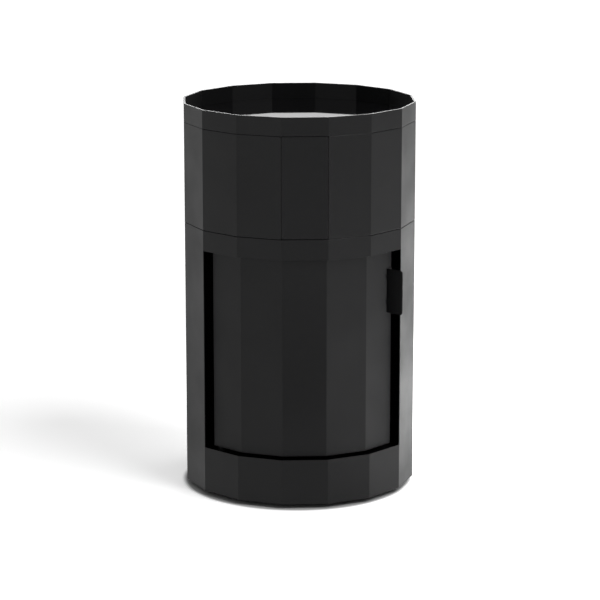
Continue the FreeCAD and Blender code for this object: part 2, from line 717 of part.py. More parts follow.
def drawer_box():
    """Narrow folded box: a channel with closed ends, screwed to the front."""
    half = BOX_WIDTH / 2
    front = SHEET - FACE
    path = [(-half, BOX_TOP), (-half, BOX_BOTTOM), (half, BOX_BOTTOM), (half, BOX_TOP)]
    channel = folded_section(path, across, BOX_SHEET, 2 * BEND)
    channel.translate(Vector(0, front, 0))
    box = channel.extrude(BACKWARD * (BOX_BACK - front))
    end = outline(path, [0, 2 * BEND, 2 * BEND, 0], across).extrude(BACKWARD * BOX_SHEET)
    for y in (front, BOX_BACK - BOX_SHEET):
        wall = end.copy()
        wall.translate(Vector(0, y, 0))
        box = box.fuse(wall)
    box = drilled(box.removeSplitter(), stud_places(), BACKWARD, M4 + HOLE_CLEARANCE)
    for sign in SIDE_SIGNS.values():
        box = drilled(box, bar_screw_places(sign), Vector(sign, 0, 0), M3 + HOLE_CLEARANCE)
    return box


def front_nuts():
    """Nuts on the front's studs, inside the box."""
    places = [place + BACKWARD * BOX_SHEET for place in stud_places()]
    return Part.makeCompound([aimed(nut(M4), place, BACKWARD) for place in places])


def bar_screw_places(sign):
    """Centres of the screws that hold a glide bar, on the inside face of the box."""
    rows = (BAR_FRONT + BAR_SCREW_END, (BAR_FRONT + BAR_BACK) / 2, BAR_BACK - BAR_SCREW_END)
    return [Vector(sign * (BOX_WIDTH / 2 - BOX_SHEET), y, BAR_MIDDLE) for y in rows]


def bar_screws():
    """Screws from inside the box into both glide bars."""
    screws = []
    for sign in SIDE_SIGNS.values():
        inward = Vector(-sign, 0, 0)
        screws += [aimed(screw(M3, BAR_SCREW), place, inward) for place in bar_screw_places(sign)]
    return Part.makeCompound(screws)


def glide_bar(sign):
    """Plastic bar on the side of the box, slotted for the stop screw and bored for its screws."""
    inner = BOX_WIDTH / 2
    low = BAR_MIDDLE - BAR_HEIGHT / 2
    points = [
        (inner, low),
        (BAR_OUTSIDE, low),
        (BAR_OUTSIDE, low + BAR_HEIGHT),
        (inner, low + BAR_HEIGHT),
    ]
    section = outline([(sign * x, z) for x, z in points], [0, BAR_EDGE, BAR_EDGE, 0], across)
    section.translate(Vector(0, BAR_FRONT, 0))
    bar = section.extrude(BACKWARD * (BAR_BACK - BAR_FRONT))
    half = STOP_RADIUS + SLOT_CLEARANCE
    deep = sorted((sign * (BAR_OUTSIDE - SLOT_DEPTH), sign * (BAR_OUTSIDE + SLOT_DEPTH)))
    run = (-STOP_PLACE - DRAWER_TRAVEL - half, half - STOP_PLACE)
    slot = facet_box(0, deep, run, (BAR_MIDDLE - half, BAR_MIDDLE + half))
    holes = [rod(M3, place, Vector(sign, 0, 0), BAR_SCREW) for place in bar_screw_places(sign)]
    return bar.cut(slot).cut(Part.makeCompound(holes))


def all_nodes():
    """Every node of the cabinet by name."""
    nodes = {
        "cabinet_shell": cabinet_shell(),
        "floor_pan": floor_pan(),
        "ceiling_pan": ceiling_pan(),
        "drum_shell": drum_shell(),
        "drum_floor": drum_floor(),
        "rim_ring": rim_ring(),
        "rim_nuts": rim_nuts(),
        "top_pane": top_pane(),
        "module_screws": module_screws(),
        "module_nuts": module_nuts(),
        "glide_nuts": glide_nuts(),
        "lower_pivot_bush": pivot_bush(FLOOR_LEVEL, UP, DOOR_BOTTOM),
        "upper_pivot_bush": pivot_bush(CEILING_LEVEL, DOWN, DOOR_TOP),
        "catch_housing": catch_housing(),
        "catch_magnet": catch_magnet(),
        "catch_screws": catch_screws(),
        "stop_screws": stop_screws(),
        "guide_screws": guide_screws(),
        "latch_housing": latch_housing(),
        "latch_screws": latch_screws(),
        "latch_plunger": latch_plunger(),
        "door_panel": door_panel(),
        "lower_pivot_pin": pivot_pin(DOOR_BOTTOM + SHEET, DOWN),
        "upper_pivot_pin": pivot_pin(DOOR_TOP - SHEET, UP),
        "door_handle": door_handle(),
        "handle_rivets": handle_rivets(),
        "drawer_front": drawer_front(),
        "drawer_box": drawer_box(),
        "front_nuts": front_nuts(),
        "bar_screws": bar_screws(),
    }
    for name, facet in GLIDE_FACETS.items():
        nodes["glide_" + name] = glide(facet)
    for name, sign in SIDE_SIGNS.items():
        nodes["drawer_guide_" + name] = drawer_guide(sign)
        nodes["glide_bar_" + name] = glide_bar(sign)
    return nodes


os.makedirs("parts", exist_ok=True)
for node, shape in all_nodes().items():
    shape.exportStep("parts/" + node + ".step")
    print(node, "solids", len(shape.Solids), "valid", shape.isValid(), "volume", round(shape.Volume))
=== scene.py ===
import json
import logging
import math
from dataclasses import dataclass
from enum import Enum
from typing import Callable, Mapping, NamedTuple

import bmesh
import bpy
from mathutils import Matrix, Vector


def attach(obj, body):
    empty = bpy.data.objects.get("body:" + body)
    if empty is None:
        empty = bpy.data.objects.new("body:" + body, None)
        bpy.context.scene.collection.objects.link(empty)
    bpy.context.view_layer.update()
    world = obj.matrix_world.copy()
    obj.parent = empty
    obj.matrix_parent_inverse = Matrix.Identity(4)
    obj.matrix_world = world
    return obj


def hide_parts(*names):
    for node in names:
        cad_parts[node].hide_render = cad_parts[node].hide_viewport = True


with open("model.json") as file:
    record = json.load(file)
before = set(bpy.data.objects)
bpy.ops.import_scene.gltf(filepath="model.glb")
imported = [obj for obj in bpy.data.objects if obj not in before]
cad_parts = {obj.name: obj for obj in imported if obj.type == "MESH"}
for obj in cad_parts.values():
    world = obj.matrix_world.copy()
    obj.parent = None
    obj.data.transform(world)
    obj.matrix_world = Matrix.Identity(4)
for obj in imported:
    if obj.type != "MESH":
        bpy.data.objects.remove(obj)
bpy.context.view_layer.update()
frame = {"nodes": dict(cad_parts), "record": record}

LOG = logging.getLogger("side_cabinet")
MM = 0.001
SIDES = 16
TURN = math.tau / SIDES
# Points this near are taken as one place, and doubles this near are merged.
NEAR = 0.02 * MM
DOUBLE = 0.002 * MM
FOLD_SEGMENTS = 3
# A face points a way when this much of its normal does.
FACING = 0.99
# Colour sockets of a Mix node.
MIX_A, MIX_B, MIX_OUT = 6, 7, 2
FOOT_FACETS = {"front_left": -2, "front_right": 2, "back_left": -6, "back_right": 6}


class Body(Enum):
    """CAD bodies that pieces ride on."""

    CARCASS = "carcass"
    DOOR = "door"
    DRAWER = "drawer"


class Slot(Enum):
    """Material slots of the record."""

    POWDER_COAT = "powder_coat"
    PANE_GLASS = "pane_glass"
    ZINC_STEEL = "zinc_steel"
    BLACK_RIVET = "black_rivet"
    BLACK_NYLON = "black_nylon"
    WHITE_ACETAL = "white_acetal"
    MAGNET_STEEL = "magnet_steel"
    FOOT_PLASTIC = "foot_plastic"


class Turn(Enum):
    """Directions in the row frame in which edges are carried on and sheets are cut."""

    UP = Vector((0, 0, 1))
    BACK = Vector((0, 1, 0))
    SIDE = Vector((1, 0, 0))


def linear(colour: str) -> tuple[float, float, float, float]:
    """Turns an sRGB hex colour to linear light.

    Args:
        colour: Six hex digits after a hash sign.

    Returns:
        Red, green, blue and an opaque alpha.
    """
    parts = [int(colour[i : i + 2], 16) / 255 for i in (1, 3, 5)]
    light = [p / 12.92 if p <= 0.04045 else ((p + 0.055) / 1.055) ** 2.4 for p in parts]
    return light[0], light[1], light[2], 1.0


def add_node(
    tree: bpy.types.NodeTree,
    kind: str,
    settings: Mapping[str | int, object] | None = None,
    links: Mapping[str | int, bpy.types.NodeSocket] | None = None,
) -> bpy.types.Node:
    """Adds a node with its settings and links.

    Args:
        tree: Node tree that takes the node.
        kind: Blender's name of the node's type.
        settings: Values by input socket, or by property where no socket has that name.
        links: Sockets that feed the node, by input socket.

    Returns:
        The new node.
    """
    node = tree.nodes.new(kind)
    for key, value in (settings or {}).items():
        if isinstance(key, int) or key in node.inputs:
            node.inputs[key].default_value = value
        else:
            setattr(node, key, value)
    for key, socket in (links or {}).items():
        tree.links.new(socket, node.inputs[key])
    return node


class Canvas(NamedTuple):
    """What a finish paints on: a material's node tree, its Principled shader and Object coordinates."""

    tree: bpy.types.NodeTree
    shader: bpy.types.Node
    place: bpy.types.NodeSocket


@dataclass(frozen=True)
class Relief:
    """Noise that stands off a surface. Size and height in millimetres."""

    size: float
    height: float
    strength: float
    detail: float = 2.0

    def emboss(self, canvas: Canvas) -> None:
        """Adds the relief to a material.

        Args:
            canvas: The material at work.
        """
        tree, shader, place = canvas
        noise = add_node(
            tree,
            "ShaderNodeTexNoise",
            {"Scale": 1 / (self.size * MM), "Detail": self.detail},
            {"Vector": place},
        )
        bump = add_node(
            tree,
            "ShaderNodeBump",
            {"Strength": self.strength, "Distance": self.height * MM},
            {"Height": noise.outputs["Fac"]},
        )
        tree.links.new(bump.outputs["Normal"], shader.inputs["Normal"])


@dataclass(frozen=True)
class Mottle:
    """Noise in a surface's gloss. Size in millimetres."""

    size: float
    span: tuple[float, float]
    low: float
    high: float
    detail: float

    def cloud(self, canvas: Canvas, roughness: float) -> None:
        """Adds the mottle to a material.

        Args:
            canvas: The material at work.
            roughness: Roughness that the noise shifts, by low to high over its span.
        """
        tree, shader, place = canvas
        noise = add_node(
            tree,
            "ShaderNodeTexNoise",
            {"Scale": 1 / (self.size * MM), "Detail": self.detail},
            {"Vector": place},
        )
        gloss = add_node(
            tree,
            "ShaderNodeMapRange",
            {
                "From Min": self.span[0],
                "From Max": self.span[1],
                "To Min": roughness + self.low,
                "To Max": roughness + self.high,
            },
            {"Value": noise.outputs["Fac"]},
        )
        tree.links.new(gloss.outputs["Result"], shader.inputs["Roughness"])


@dataclass(frozen=True)
class Finish:
    """A surface finish that shows as one Principled shader with a pattern at its real size."""

    name: str
    colour: str
    roughness: float
    metallic: float = 0.0
    ior: float = 1.5

    def make(self) -> bpy.types.Material:
        """Makes the material.

        Returns:
            The finished material.
        """
        material = bpy.data.materials.new(self.name)
        material.use_nodes = True
        tree = material.node_tree
        shader = tree.nodes["Principled BSDF"]
        shader.inputs["Base Color"].default_value = linear(self.colour)
        shader.inputs["Roughness"].default_value = self.roughness
        shader.inputs["Metallic"].default_value = self.metallic
        if not self.metallic:
            shader.inputs["IOR"].default_value = self.ior
        self.pattern(Canvas(tree, shader, add_node(tree, "ShaderNodeTexCoord").outputs["Object"]))
        return material

    def pattern(self, canvas: Canvas) -> None:
        """Adds the finish's pattern to its shader.

        Args:
            canvas: The material at work.
        """
        raise NotImplementedError


@dataclass(frozen=True)
class PowderCoat(Finish):
    """Polyester powder coat, baked on: satin, with orange peel and a slow drift of gloss over the sheet."""

    specular: float = 0.2
    # A real coat's peel is about as wide as a pixel here, so it shows only in the edges' highlights.
    peel: Relief = Relief(1.6, 0.012, 0.6)
    drift: Mottle = Mottle(70.0, (0.3, 0.7), -0.05, 0.05, 3.0)
    grain_mm: float = 0.7
    grain_colour: str = "#0b0b0c"

    def pattern(self, canvas: Canvas) -> None:
        """Adds orange peel, gloss drift and pigment grain.

        Args:
            canvas: The material at work.
        """
        tree, shader, place = canvas
        shader.inputs["Specular IOR Level"].default_value = self.specular
        self.peel.emboss(canvas)
        self.drift.cloud(canvas, self.roughness)
        grain = add_node(
            tree, "ShaderNodeTexNoise", {"Scale": 1 / (self.grain_mm * MM), "Detail": 1.0}, {"Vector": place}
        )
        pigment = add_node(
            tree,
            "ShaderNodeMix",
            {"data_type": "RGBA", MIX_A: linear(self.colour), MIX_B: linear(self.grain_colour)},
            {0: grain.outputs["Fac"]},
        )
        tree.links.new(pigment.outputs[MIX_OUT], shader.inputs["Base Color"])


@dataclass(frozen=True)
class PaneGlass(Finish):
    """Float glass with black paint on its back: deep black from above, a mirror at a glance along it."""

    coat: float = 0.35
    wave: Relief = Relief(90.0, 0.004, 0.5, 0.0)
    haze: Mottle = Mottle(25.0, (0.4, 0.75), 0.0, 0.03, 4.0)

    def pattern(self, canvas: Canvas) -> None:
        """Adds the slow wave of drawn glass and a trace of haze from wiping.

        Args:
            canvas: The material at work.
        """
        canvas.shader.inputs["Coat Weight"].default_value = self.coat
        canvas.shader.inputs["Coat Roughness"].default_value = self.roughness
        self.wave.emboss(canvas)
        self.haze.cloud(canvas, self.roughness)


@dataclass(frozen=True)
class PlatedSteel(Finish):
    """Plated steel: bright, with crystals of the plating as small patches of different gloss."""

    crystal_mm: float = 0.8
    spread: float = 0.1

    def pattern(self, canvas: Canvas) -> None:
        """Adds the plating's crystals as patches of gloss.

        Args:
            canvas: The material at work.
        """
        tree, shader, place = canvas
        crystal = add_node(
            tree, "ShaderNodeTexVoronoi", {"Scale": 1 / (self.crystal_mm * MM)}, {"Vector": place}
        )
        gloss = add_node(
            tree,
            "ShaderNodeMapRange",
            {"To Min": self.roughness - self.spread, "To Max": self.roughness + self.spread},
            {"Value": crystal.outputs["Distance"]},
        )
        tree.links.new(gloss.outputs["Result"], shader.inputs["Roughness"])


@dataclass(frozen=True)
class MouldedPlastic(Finish):
    """Moulded plastic: an even, low sheen over the spark-eroded grain of the mould."""

    specular: float = 0.2
    grain: Relief = Relief(0.35, 0.02, 0.7)

    def pattern(self, canvas: Canvas) -> None:
        """Adds the mould's grain.

        Args:
            canvas: The material at work.
        """
        canvas.shader.inputs["Specular IOR Level"].default_value = self.specular
        self.grain.emboss(canvas)


@dataclass(frozen=True)
class MachinedPlastic(Finish):
    """Machined plastic: waxy, with the cutter's fine marks across the bar."""

    mark_mm: float = 0.8
    mark_height_mm: float = 0.01
    mark_strength: float = 0.5
    mark_wander: float = 0.6

    def pattern(self, canvas: Canvas) -> None:
        """Adds cutter marks that cross the bar's length.

        Args:
            canvas: The material at work.
        """
        tree, shader, place = canvas
        # A wave texture repeats every 2 pi / (20 x scale) of its axis.
        marks = add_node(
            tree,
            "ShaderNodeTexWave",
            {
                "bands_direction": "Y",
                "Scale": math.tau / (20 * self.mark_mm * MM),
                "Distortion": self.mark_wander,
            },
            {"Vector": place},
        )
        bump = add_node(
            tree,
            "ShaderNodeBump",
            {"Strength": self.mark_strength, "Distance": self.mark_height_mm * MM},
            {"Height": marks.outputs["Fac"]},
        )
        tree.links.new(bump.outputs["Normal"], shader.inputs["Normal"])


FINISHES: dict[Slot, Finish] = {
    # Near black with a broad soft sheen, so that each facet reads as one flat tone.
    Slot.POWDER_COAT: PowderCoat("satin_black_powder_coat", "#070708", 0.42),
    # Deep black from above and a clear mirror of the rim from the side.
    Slot.PANE_GLASS: PaneGlass("back_painted_black_glass", "#050506", 0.012, ior=1.52),
    # Pale bright metal with a faint sparkle, which picks the screws out of the black.
    Slot.ZINC_STEEL: PlatedSteel("zinc_plated_steel", "#c3c4c0", 0.34, metallic=1.0),
    # The coat's black with a sharper highlight on the small domes.
    Slot.BLACK_RIVET: PowderCoat(
        "black_coated_rivet_steel", "#070708", 0.36, peel=Relief(0.6, 0.012, 0.6)
    ),
    # Dull black that sinks back into the gaps beside the door.
    Slot.BLACK_NYLON: MouldedPlastic("moulded_black_nylon", "#101011", 0.55, ior=1.53),
    # Waxy off-white, the one pale thing on the drawer.
    Slot.WHITE_ACETAL: MachinedPlastic("machined_white_acetal", "#e9e7df", 0.38, ior=1.48),
    # Darker and warmer than the zinc, with a finer sparkle.
    Slot.MAGNET_STEEL: PlatedSteel(
        "nickel_plated_pole_steel", "#a3a29e", 0.3, metallic=1.0, crystal_mm=0.5
    ),
    # Dull black with a coarser grain than the nylon.
    Slot.FOOT_PLASTIC: MouldedPlastic(
        "moulded_black_polypropylene", "#181819", 0.55, ior=1.49, grain=Relief(0.5, 0.02, 0.7)
    ),
}


Profile = list[tuple[float, float]]


def round_corner(out: float, height: float, radius: float, start: float, steps: int = 6) -> Profile:
    """Lays points along a quarter round of a profile.

    Args:
        out: Distance of the round's centre from the axis, in millimetres.
        height: Height of the round's centre, in millimetres.
        radius: Radius, negative where the round runs clockwise.
        start: Angle at which it starts, in degrees from straight out.
        steps: Number of steps.

    Returns:
        The points, both ends included.
    """
    turn = math.copysign(90.0, radius) / steps
    angles = [math.radians(start + k * turn) for k in range(steps + 1)]
    return [(out + abs(radius) * math.cos(a), height + abs(radius) * math.sin(a)) for a in angles]


def facet_point(facet: float, along: float, out: float, height: float) -> Vector:
    """Finds a point on a facet.

    Args:
        facet: Facets counted from the front, to the right.
        along: Distance along the facet from its middle, in millimetres.
        out: Distance out from the axis, in millimetres.
        height: Height above the floor, in millimetres.

    Returns:
        The point in the row frame, in metres.
    """
    angle = facet * TURN
    x = out * math.sin(angle) + along * math.cos(angle)
    y = -out * math.cos(angle) + along * math.sin(angle)
    return Vector((x, y, height)) * MM


class Bench:
    """One piece at work in edit mode, its parts picked by place."""

    def __init__(self, name: str, add: Callable[[], object]) -> None:
        """Adds a primitive with nothing else selected and opens it for editing.

        Args:
            name: Name of the finished piece.
            add: Call that adds the primitive at its size and place.
        """
        bpy.ops.object.select_all(action="DESELECT")
        add()
        self.piece = bpy.context.object
        self.piece.name = name
        self.piece.data.name = name
        bpy.ops.object.transform_apply(location=True, rotation=True, scale=True)
        bpy.ops.object.mode_set(mode="EDIT")

    @classmethod
    def tube(cls, name: str, corner_radius: float, low: float, high: float) -> "Bench":
        """Opens a sixteen-sided tube with a facet to the front.

        Args:
            name: Name of the finished piece.
            corner_radius: Radius to the corners, in millimetres.
            low: Lower end, in millimetres above the floor.
            high: Upper end, in millimetres above the floor.

        Returns:
            The bench with the tube on it.
        """
        return cls(
            name,
            lambda: bpy.ops.mesh.primitive_cylinder_add(
                vertices=SIDES,
                radius=corner_radius * MM,
                depth=(high - low) * MM,
                end_fill_type="NOTHING",
                location=(0, 0, (low + high) / 2 * MM),
                rotation=(0, 0, TURN / 2),
            ),
        )

    def pick(
        self,
        verts: Callable[[Vector], bool] | None = None,
        edges: Callable[[Vector, Vector], bool] | None = None,
        faces: Callable[[Vector, Vector], bool] | None = None,
    ) -> None:
        """Selects the parts of the mesh that pass a test, and nothing else.

        Args:
            verts: Test of a vertex by its place.
            edges: Test of an edge by its two ends.
            faces: Test of a face by its middle and its normal.
        """
        kind = "VERT" if verts else "EDGE" if edges else "FACE"
        bpy.ops.mesh.select_mode(type=kind)
        bpy.ops.mesh.select_all(action="DESELECT")
        mesh = bmesh.from_edit_mesh(self.piece.data)
        mesh.normal_update()
        if verts:
            picked = [vert for vert in mesh.verts if verts(vert.co)]
        elif edges:
            picked = [edge for edge in mesh.edges if edges(edge.verts[0].co, edge.verts[1].co)]
        else:
            picked = [face for face in mesh.faces if faces(face.calc_center_median(), face.normal)]
        for part in picked:
            part.select_set(True)
        bmesh.update_edit_mesh(self.piece.data)

    def pick_level(self, level: float) -> None:
        """Selects the edges that lie at a height.

        Args:
            level: Height in millimetres.
        """
        self.pick(edges=lambda a, b: all(abs(p.z - level * MM) < NEAR for p in (a, b)))

    def pick_upright(self, test: Callable[[Vector], bool]) -> None:
        """Selects upright edges.

        Args:
            test: Test of an edge's middle.
        """
        self.pick(
            edges=lambda a, b: (a.xy - b.xy).length < NEAR and abs(a.z - b.z) > NEAR and test((a + b) / 2)
        )

    def carry(self, move: Vector, share: float = 1.0) -> None:
        """Extrudes what is selected, moves it, and draws it in towards the axis.

        Args:
            move: Move in millimetres.
            share: Scale across the axis.
        """
        bpy.ops.mesh.extrude_region_move(TRANSFORM_OT_translate={"value": move * MM})
        if share != 1.0:
            bpy.ops.transform.resize(value=(share, share, 1), center_override=(0, 0, 0))

    def follow(self, profile: Profile) -> None:
        """Carries the selected edge loop along a profile.

        Args:
            profile: Distances from the axis to the facets and heights, from where the loop is now.
        """
        for (out, height), (next_out, next_height) in zip(profile, profile[1:]):
            self.carry(Vector((0, 0, next_height - height)), next_out / out)

    def cut(self, place: Vector, normal: Vector, clear: bool = False) -> None:
        """Cuts the whole mesh at a plane.

        Args:
            place: Point of the plane, in metres.
            normal: The plane's normal.
            clear: Whether what lies beyond the plane goes.
        """
        bpy.ops.mesh.select_all(action="SELECT")
        bpy.ops.mesh.bisect(plane_co=place, plane_no=normal, clear_outer=clear, threshold=DOUBLE)

    def bevel(self, width: float, segments: int, corners: bool = False) -> None:
        """Rounds the selected edges or corners.

        Args:
            width: Distance from each edge or corner to where its round starts, in millimetres.
            segments: Number of segments.
            corners: Whether corners are rounded in place of edges.
        """
        bpy.ops.mesh.bevel(
            offset=width * MM,
            segments=segments,
            profile=0.5,
            affect="VERTICES" if corners else "EDGES",
            clamp_overlap=False,
        )

    def close(self) -> bpy.types.Object:
        """Merges doubles and leaves edit mode.

        Returns:
            The piece.
        """
        bpy.ops.mesh.select_all(action="SELECT")
        bpy.ops.mesh.remove_doubles(threshold=DOUBLE)
        bpy.ops.object.mode_set(mode="OBJECT")
        return self.piece


def modify(piece: bpy.types.Object, kind: str, **settings: object) -> None:
    """Adds a modifier to the active piece and applies it.

    Args:
        piece: The piece.
        kind: Blender's name of the modifier's type.
        settings: The modifier's settings.
    """
    modifier = piece.modifiers.new(kind.title(), kind)
    for key, value in settings.items():
        setattr(modifier, key, value)
    bpy.ops.object.modifier_apply(modifier=modifier.name)


def thicken(
    piece: bpy.types.Object, sheet: float, ease: float = 0.25, sharp: float = 50.0
) -> bpy.types.Object:
    """Gives a sheet its thickness behind its outer face, eases its sharp edges and shades it.

    Args:
        piece: The piece.
        sheet: Thickness in millimetres.
        ease: Width of the eased edges, in millimetres.
        sharp: Least angle of a sharp edge, in degrees.

    Returns:
        The same piece.
    """
    modify(piece, "SOLIDIFY", thickness=sheet * MM, offset=-1.0, use_even_offset=True)
    modify(
        piece, "BEVEL", width=ease * MM, segments=2, limit_method="ANGLE", angle_limit=math.radians(sharp)
    )
    modify(piece, "WELD", merge_threshold=DOUBLE)
    return smooth(piece)


def select(*pieces: bpy.types.Object) -> None:
    """Selects pieces and nothing else, and makes the last one active.

    Args:
        pieces: The pieces.
    """
    bpy.ops.object.select_all(action="DESELECT")
    for piece in pieces:
        piece.select_set(True)
    bpy.context.view_layer.objects.active = pieces[-1]


def smooth(piece: bpy.types.Object, angle: float = 20.0) -> bpy.types.Object:
    """Shades rounds smoothly and keeps flats flat.

    Args:
        piece: The piece.
        angle: Largest angle that is shaded smoothly, in degrees.

    Returns:
        The same piece.
    """
    select(piece)
    bpy.ops.object.shade_smooth_by_angle(angle=math.radians(angle))
    modify(piece, "WEIGHTED_NORMAL", mode="FACE_AREA", weight=80, keep_sharp=True)
    return piece


def spread(model: bpy.types.Object, places: list[Vector]) -> list[bpy.types.Object]:
    """Copies a piece modelled at the origin to several places, each copy with its own mesh.

    Args:
        model: The piece, which goes to the first place itself.
        places: The places, in metres.

    Returns:
        The pieces in the order of their places.
    """
    pieces = [model]
    for _ in places[1:]:
        select(model)
        bpy.ops.object.duplicate()
        pieces.append(bpy.context.object)
    for piece, place in zip(pieces, places):
        select(piece)
        piece.location = place
        bpy.ops.object.transform_apply(location=True)
    return pieces


@dataclass(frozen=True)
class WeldStud:
    """A stud welded to the back of a sheet. Sizes in millimetres."""

    radius: float
    length: float
    chamfer: float = 0.4
    sides: int = 16

    def weld(self, piece: bpy.types.Object, places: list[Vector], turn: float = 0.0) -> None:
        """Turns a stud with a chamfered end and joins a copy to a piece at every place.

        Args:
            piece: The piece that takes the studs.
            places: Where the studs' roots go, in metres.
            turn: Turn of the studs from straight down towards the back, in radians.
        """
        bench = Bench(
            piece.name + "_stud",
            lambda: bpy.ops.mesh.primitive_cylinder_add(
                vertices=self.sides,
                radius=self.radius * MM,
                depth=self.length * MM,
                location=(0, 0, -self.length / 2 * MM),
            ),
        )
        bench.pick_level(-self.length)
        bench.bevel(self.chamfer, 2)
        stud = bench.close()
        stud.rotation_euler.x = turn
        bpy.ops.object.transform_apply(rotation=True)
        smooth(stud)
        select(*spread(stud, places), piece)
        bpy.ops.object.join()


class Dresser:
    """Gives every piece its finish, its body and the CAD nodes that it stands for."""

    def __init__(self) -> None:
        """Makes the materials of all slots."""
        self.materials = {slot: finish.make() for slot, finish in FINISHES.items()}

    def wear(self, piece: bpy.types.Object, slot: Slot) -> None:
        """Puts a slot's finish on a piece or a CAD node.

        Args:
            piece: The piece.
            slot: The slot.
        """
        piece.data.materials.clear()
        piece.data.materials.append(self.materials[slot])

    def place(self, piece: bpy.types.Object, body: Body, slot: Slot, *nodes: str) -> None:
        """Rides a finished piece on its body in place of CAD nodes.

        Args:
            piece: The piece.
            body: The body it moves with.
            slot: The slot of its finish.
            nodes: CAD nodes that it stands for.
        """
        self.wear(piece, slot)
        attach(piece, body.value)
        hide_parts(*nodes)
        LOG.info("%s: %d faces on %s", piece.name, len(piece.data.polygons), body.value)

    def dress_nodes(self) -> None:
        """Gives every CAD node the finish of its slot."""
        for part in frame["record"]["subparts"]:
            self.wear(frame["nodes"][part["node"]], Slot(part["material_slot"]))


@dataclass
class Carcass:
    """Lower cabinet, drum and rim: sixteen-sided skins of folded sheet, and the pane.

    Sizes in millimetres, and places of folds in facets from the front.
    """

    dresser: Dresser
    corner_radius: float = 180.0
    sheet: float = 1.2
    bend: float = 1.3
    fold: float = 0.5
    foot: float = 7.0
    sill: float = 77.0
    lintel: float = 385.0
    seam: float = 417.0
    drum_top: float = 571.6
    top: float = 600.0
    base_flange: float = 50.0
    seam_flange: float = 20.0
    bay: float = 14.0
    door_facets: float = 2.5
    drawer_facets: float = 0.5
    fold_reach: float = 0.1
    stile: float = 16.0
    stile_cut: float = 4.0
    relief: tuple[float, float] = (0.6, 2.0)
    rim_wall: float = 3.0
    rim_round: float = 0.5
    ledge: float = 18.0
    rim_stud: WeldStud = WeldStud(2.5, 14.0)
    stud_circle: float = 164.0
    pane_gap: float = 0.8
    pane: float = 3.0
    arris: float = 0.5

    @property
    def face(self) -> float:
        """Distance from the axis to the facets."""
        return self.corner_radius * math.cos(TURN / 2)

    @property
    def half_facet(self) -> float:
        """Half the width of a facet."""
        return self.corner_radius * math.sin(TURN / 2)

    def skin(self, name: str, low: float, high: float, sharp: Callable[[Vector], bool]) -> Bench:
        """Opens a tube that stops short of its bends and rounds its upright folds.

        Args:
            name: Name of the finished piece.
            low: Height of the lower bend.
            high: Height of the upper bend.
            sharp: Test of a fold's middle, true where it stays sharp.

        Returns:
            The bench with the skin on it.
        """
        bench = Bench.tube(name, self.corner_radius, low + self.bend, high - self.bend)
        bench.pick_upright(lambda middle: not sharp(middle))
        bench.bevel(self.fold, FOLD_SEGMENTS)
        return bench

    def turn_in(self, bench: Bench, level: float, flange: float, upper: bool) -> None:
        """Bends an end of a skin in to a flange.

        Args:
            bench: Bench with the skin.
            level: Height of the flange's outer face.
            flange: Width of the flange.
            upper: Whether it is the upper end.
        """
        centre = level - self.bend if upper else level + self.bend
        bench.pick_level(centre)
        radius = self.bend if upper else -self.bend
        ends = [(self.face - self.bay, level), (self.face - flange, level)]
        bench.follow(round_corner(self.face - self.bend, centre, radius, 0.0) + ends)

    def turn_of(self, place: Vector) -> float:
        """Facets between a point and the middle of the front."""
        return abs(math.atan2(place.x, -place.y)) / TURN

    def is_jamb(self, place: Vector) -> bool:
        """Tells whether a point lies on a fold beside the door."""
        return abs(self.turn_of(place) - self.door_facets) < self.fold_reach

    def is_stile(self, place: Vector) -> bool:
        """Tells whether a point lies on a fold beside the drawer front."""
        return abs(self.turn_of(place) - self.drawer_facets) < self.fold_reach

    def cabinet_skin(self) -> bpy.types.Object:
        """Folds the lower skin and cuts the door's opening from five facets.

        Returns:
            The piece.
        """
        bench = self.skin("cabinet_skin", self.foot, self.seam, self.is_jamb)
        self.turn_in(bench, self.foot, self.base_flange, upper=False)
        self.turn_in(bench, self.seam, self.seam_flange, upper=True)
        for level in (self.sill, self.lintel):
            bench.cut(Vector((0, 0, level * MM)), Turn.UP.value)
        bench.pick(
            faces=lambda middle, normal: self.sill * MM < middle.z < self.lintel * MM
            and self.turn_of(middle) < self.door_facets
        )
        bpy.ops.mesh.delete(type="FACE")
        return thicken(bench.close(), self.sheet)

    def drum_skin(self) -> bpy.types.Object:
        """Folds the drum's skin, with its front facet open as a bay and a stile along each side of it.

        Returns:
            The piece.
        """
        bench = self.skin("drum_skin", self.seam, self.drum_top, self.is_stile)
        self.turn_in(bench, self.seam, self.seam_flange, upper=False)
        self.turn_in(bench, self.drum_top, self.seam_flange, upper=True)
        bay_back = (self.bay - self.face) * MM
        bench.pick(
            faces=lambda middle, normal: self.turn_of(middle) < self.drawer_facets and middle.y < bay_back
        )
        bpy.ops.mesh.delete(type="FACE")
        # The bends and flanges end beside the drawer, clear of it, and the stiles start past them.
        across, along = self.relief
        low, high = (self.seam + self.bend + along) * MM, (self.drum_top - self.bend - along) * MM
        for level in (low, high):
            bench.cut(Vector((0, 0, level)), Turn.UP.value)
        for sign in (-1, 1):
            bench.pick(
                verts=lambda p: self.is_stile(p)
                and p.x * sign > 0
                and p.y < bay_back + NEAR
                and not low - NEAR < p.z < high + NEAR
            )
            side = sign * (self.half_facet + across) * MM
            bpy.ops.transform.resize(value=(0, 1, 1), center_override=(side, 0, 0))
        bench.pick_upright(self.is_stile)
        bench.carry(Turn.BACK.value * self.stile)
        # A cut beside each stile keeps the sheet at its thickness up to the fold.
        for sign in (-1, 1):
            bench.cut(Vector((sign * (self.half_facet + self.stile_cut) * MM, 0, 0)), Turn.SIDE.value)
        return thicken(bench.close(), self.sheet)

